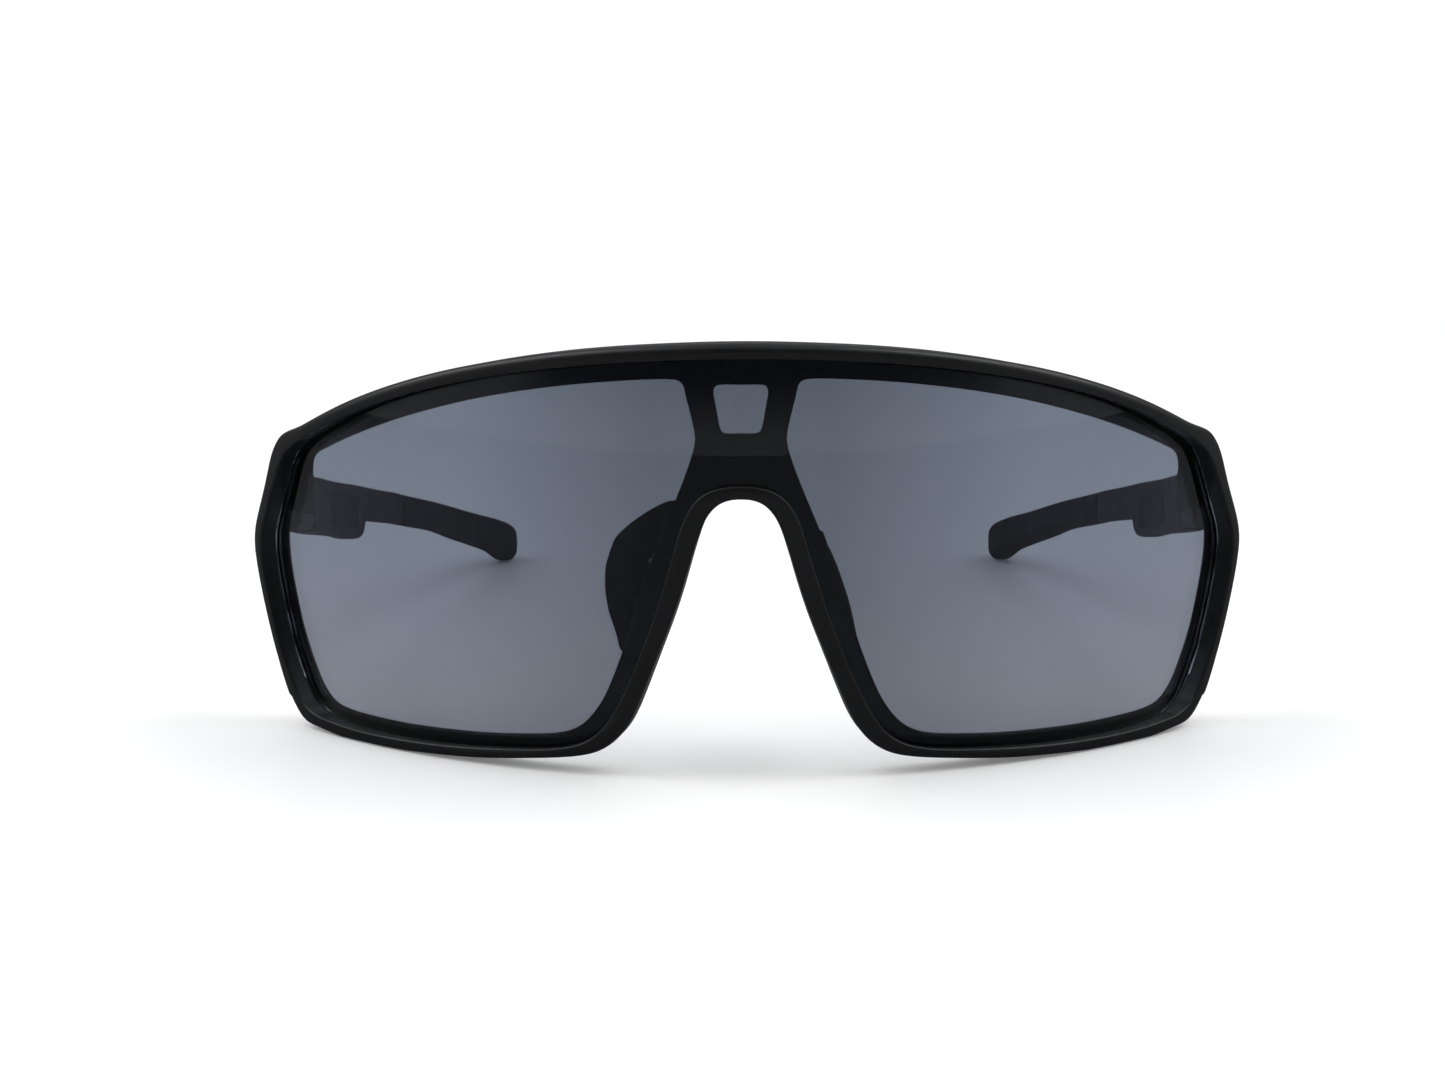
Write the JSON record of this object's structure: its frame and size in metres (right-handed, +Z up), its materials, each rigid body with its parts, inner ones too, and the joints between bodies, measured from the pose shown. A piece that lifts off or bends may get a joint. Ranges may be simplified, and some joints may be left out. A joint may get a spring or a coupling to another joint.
{
  "type": "wraparound sport sunglasses",
  "caption": "Shield-lens wraparound sport sunglasses with a full rim, folding temples, soft tips and bendable nose pads.",
  "frame": {"origin": "on the table plane, under the middle of the whole object with the temples open", "axes": "+Z up with the glasses standing on the lower rim and the temple tips, -Y the way the lens looks, +X towards the wearer's left temple"},
  "size_m": [0.1418, 0.1562, 0.0577],
  "materials": {
    "frame_plastic": "satin black moulded plastic",
    "temple_plastic": "satin black moulded plastic",
    "saddle_plastic": "matt black",
    "lens": "smoke grey transparent, polished",
    "pad_rubber": "soft matt black",
    "tip_rubber": "soft matt black",
    "insert_rubber": "soft matt charcoal",
    "core_wire": "drawn wire",
    "hinge_steel": "plain steel, lightly polished"
  },
  "bodies": {
    "front": {"front_frame": "frame_plastic", "shield_lens": "lens", "nose_saddle": "saddle_plastic", "frame_hinge_leaf_left": "hinge_steel", "frame_hinge_leaf_right": "hinge_steel", "hinge_screw_left": "hinge_steel", "hinge_screw_right": "hinge_steel", "frame_leaf_pins": "hinge_steel"},
    "pad_left": {"nose_pad_left": "pad_rubber", "nose_pad_core_left": "core_wire"},
    "pad_right": {"nose_pad_right": "pad_rubber", "nose_pad_core_right": "core_wire"},
    "temple_left": {"temple_arm_left": "temple_plastic", "temple_tip_left": "tip_rubber", "temple_insert_left": "insert_rubber", "temple_hinge_leaf_left": "hinge_steel", "temple_leaf_pins_left": "hinge_steel"},
    "temple_right": {"temple_arm_right": "temple_plastic", "temple_tip_right": "tip_rubber", "temple_insert_right": "insert_rubber", "temple_hinge_leaf_right": "hinge_steel", "temple_leaf_pins_right": "hinge_steel"}
  },
  "joints": [
    {"name": "temple_left_fold", "type": "hinge", "parent": "front", "child": "temple_left", "pos_m": [0.0656, -0.0346, 0.0304], "axis": [0, 0, 1], "range_deg": [0, 86]},
    {"name": "temple_right_fold", "type": "hinge", "parent": "front", "child": "temple_right", "pos_m": [-0.0656, -0.0346, 0.0304], "axis": [0, 0, -1], "range_deg": [0, 93]},
    {"name": "pad_left_bend", "type": "hinge", "parent": "front", "child": "pad_left", "pos_m": [0.01085, -0.0691, 0.0275], "axis": [0.325, 0, -0.9457], "range_deg": [-6, 12]},
    {"name": "pad_right_bend", "type": "hinge", "parent": "front", "child": "pad_right", "pos_m": [-0.01085, -0.0691, 0.0275], "axis": [0.325, 0, 0.9457], "range_deg": [-12, 8]}
  ]
}
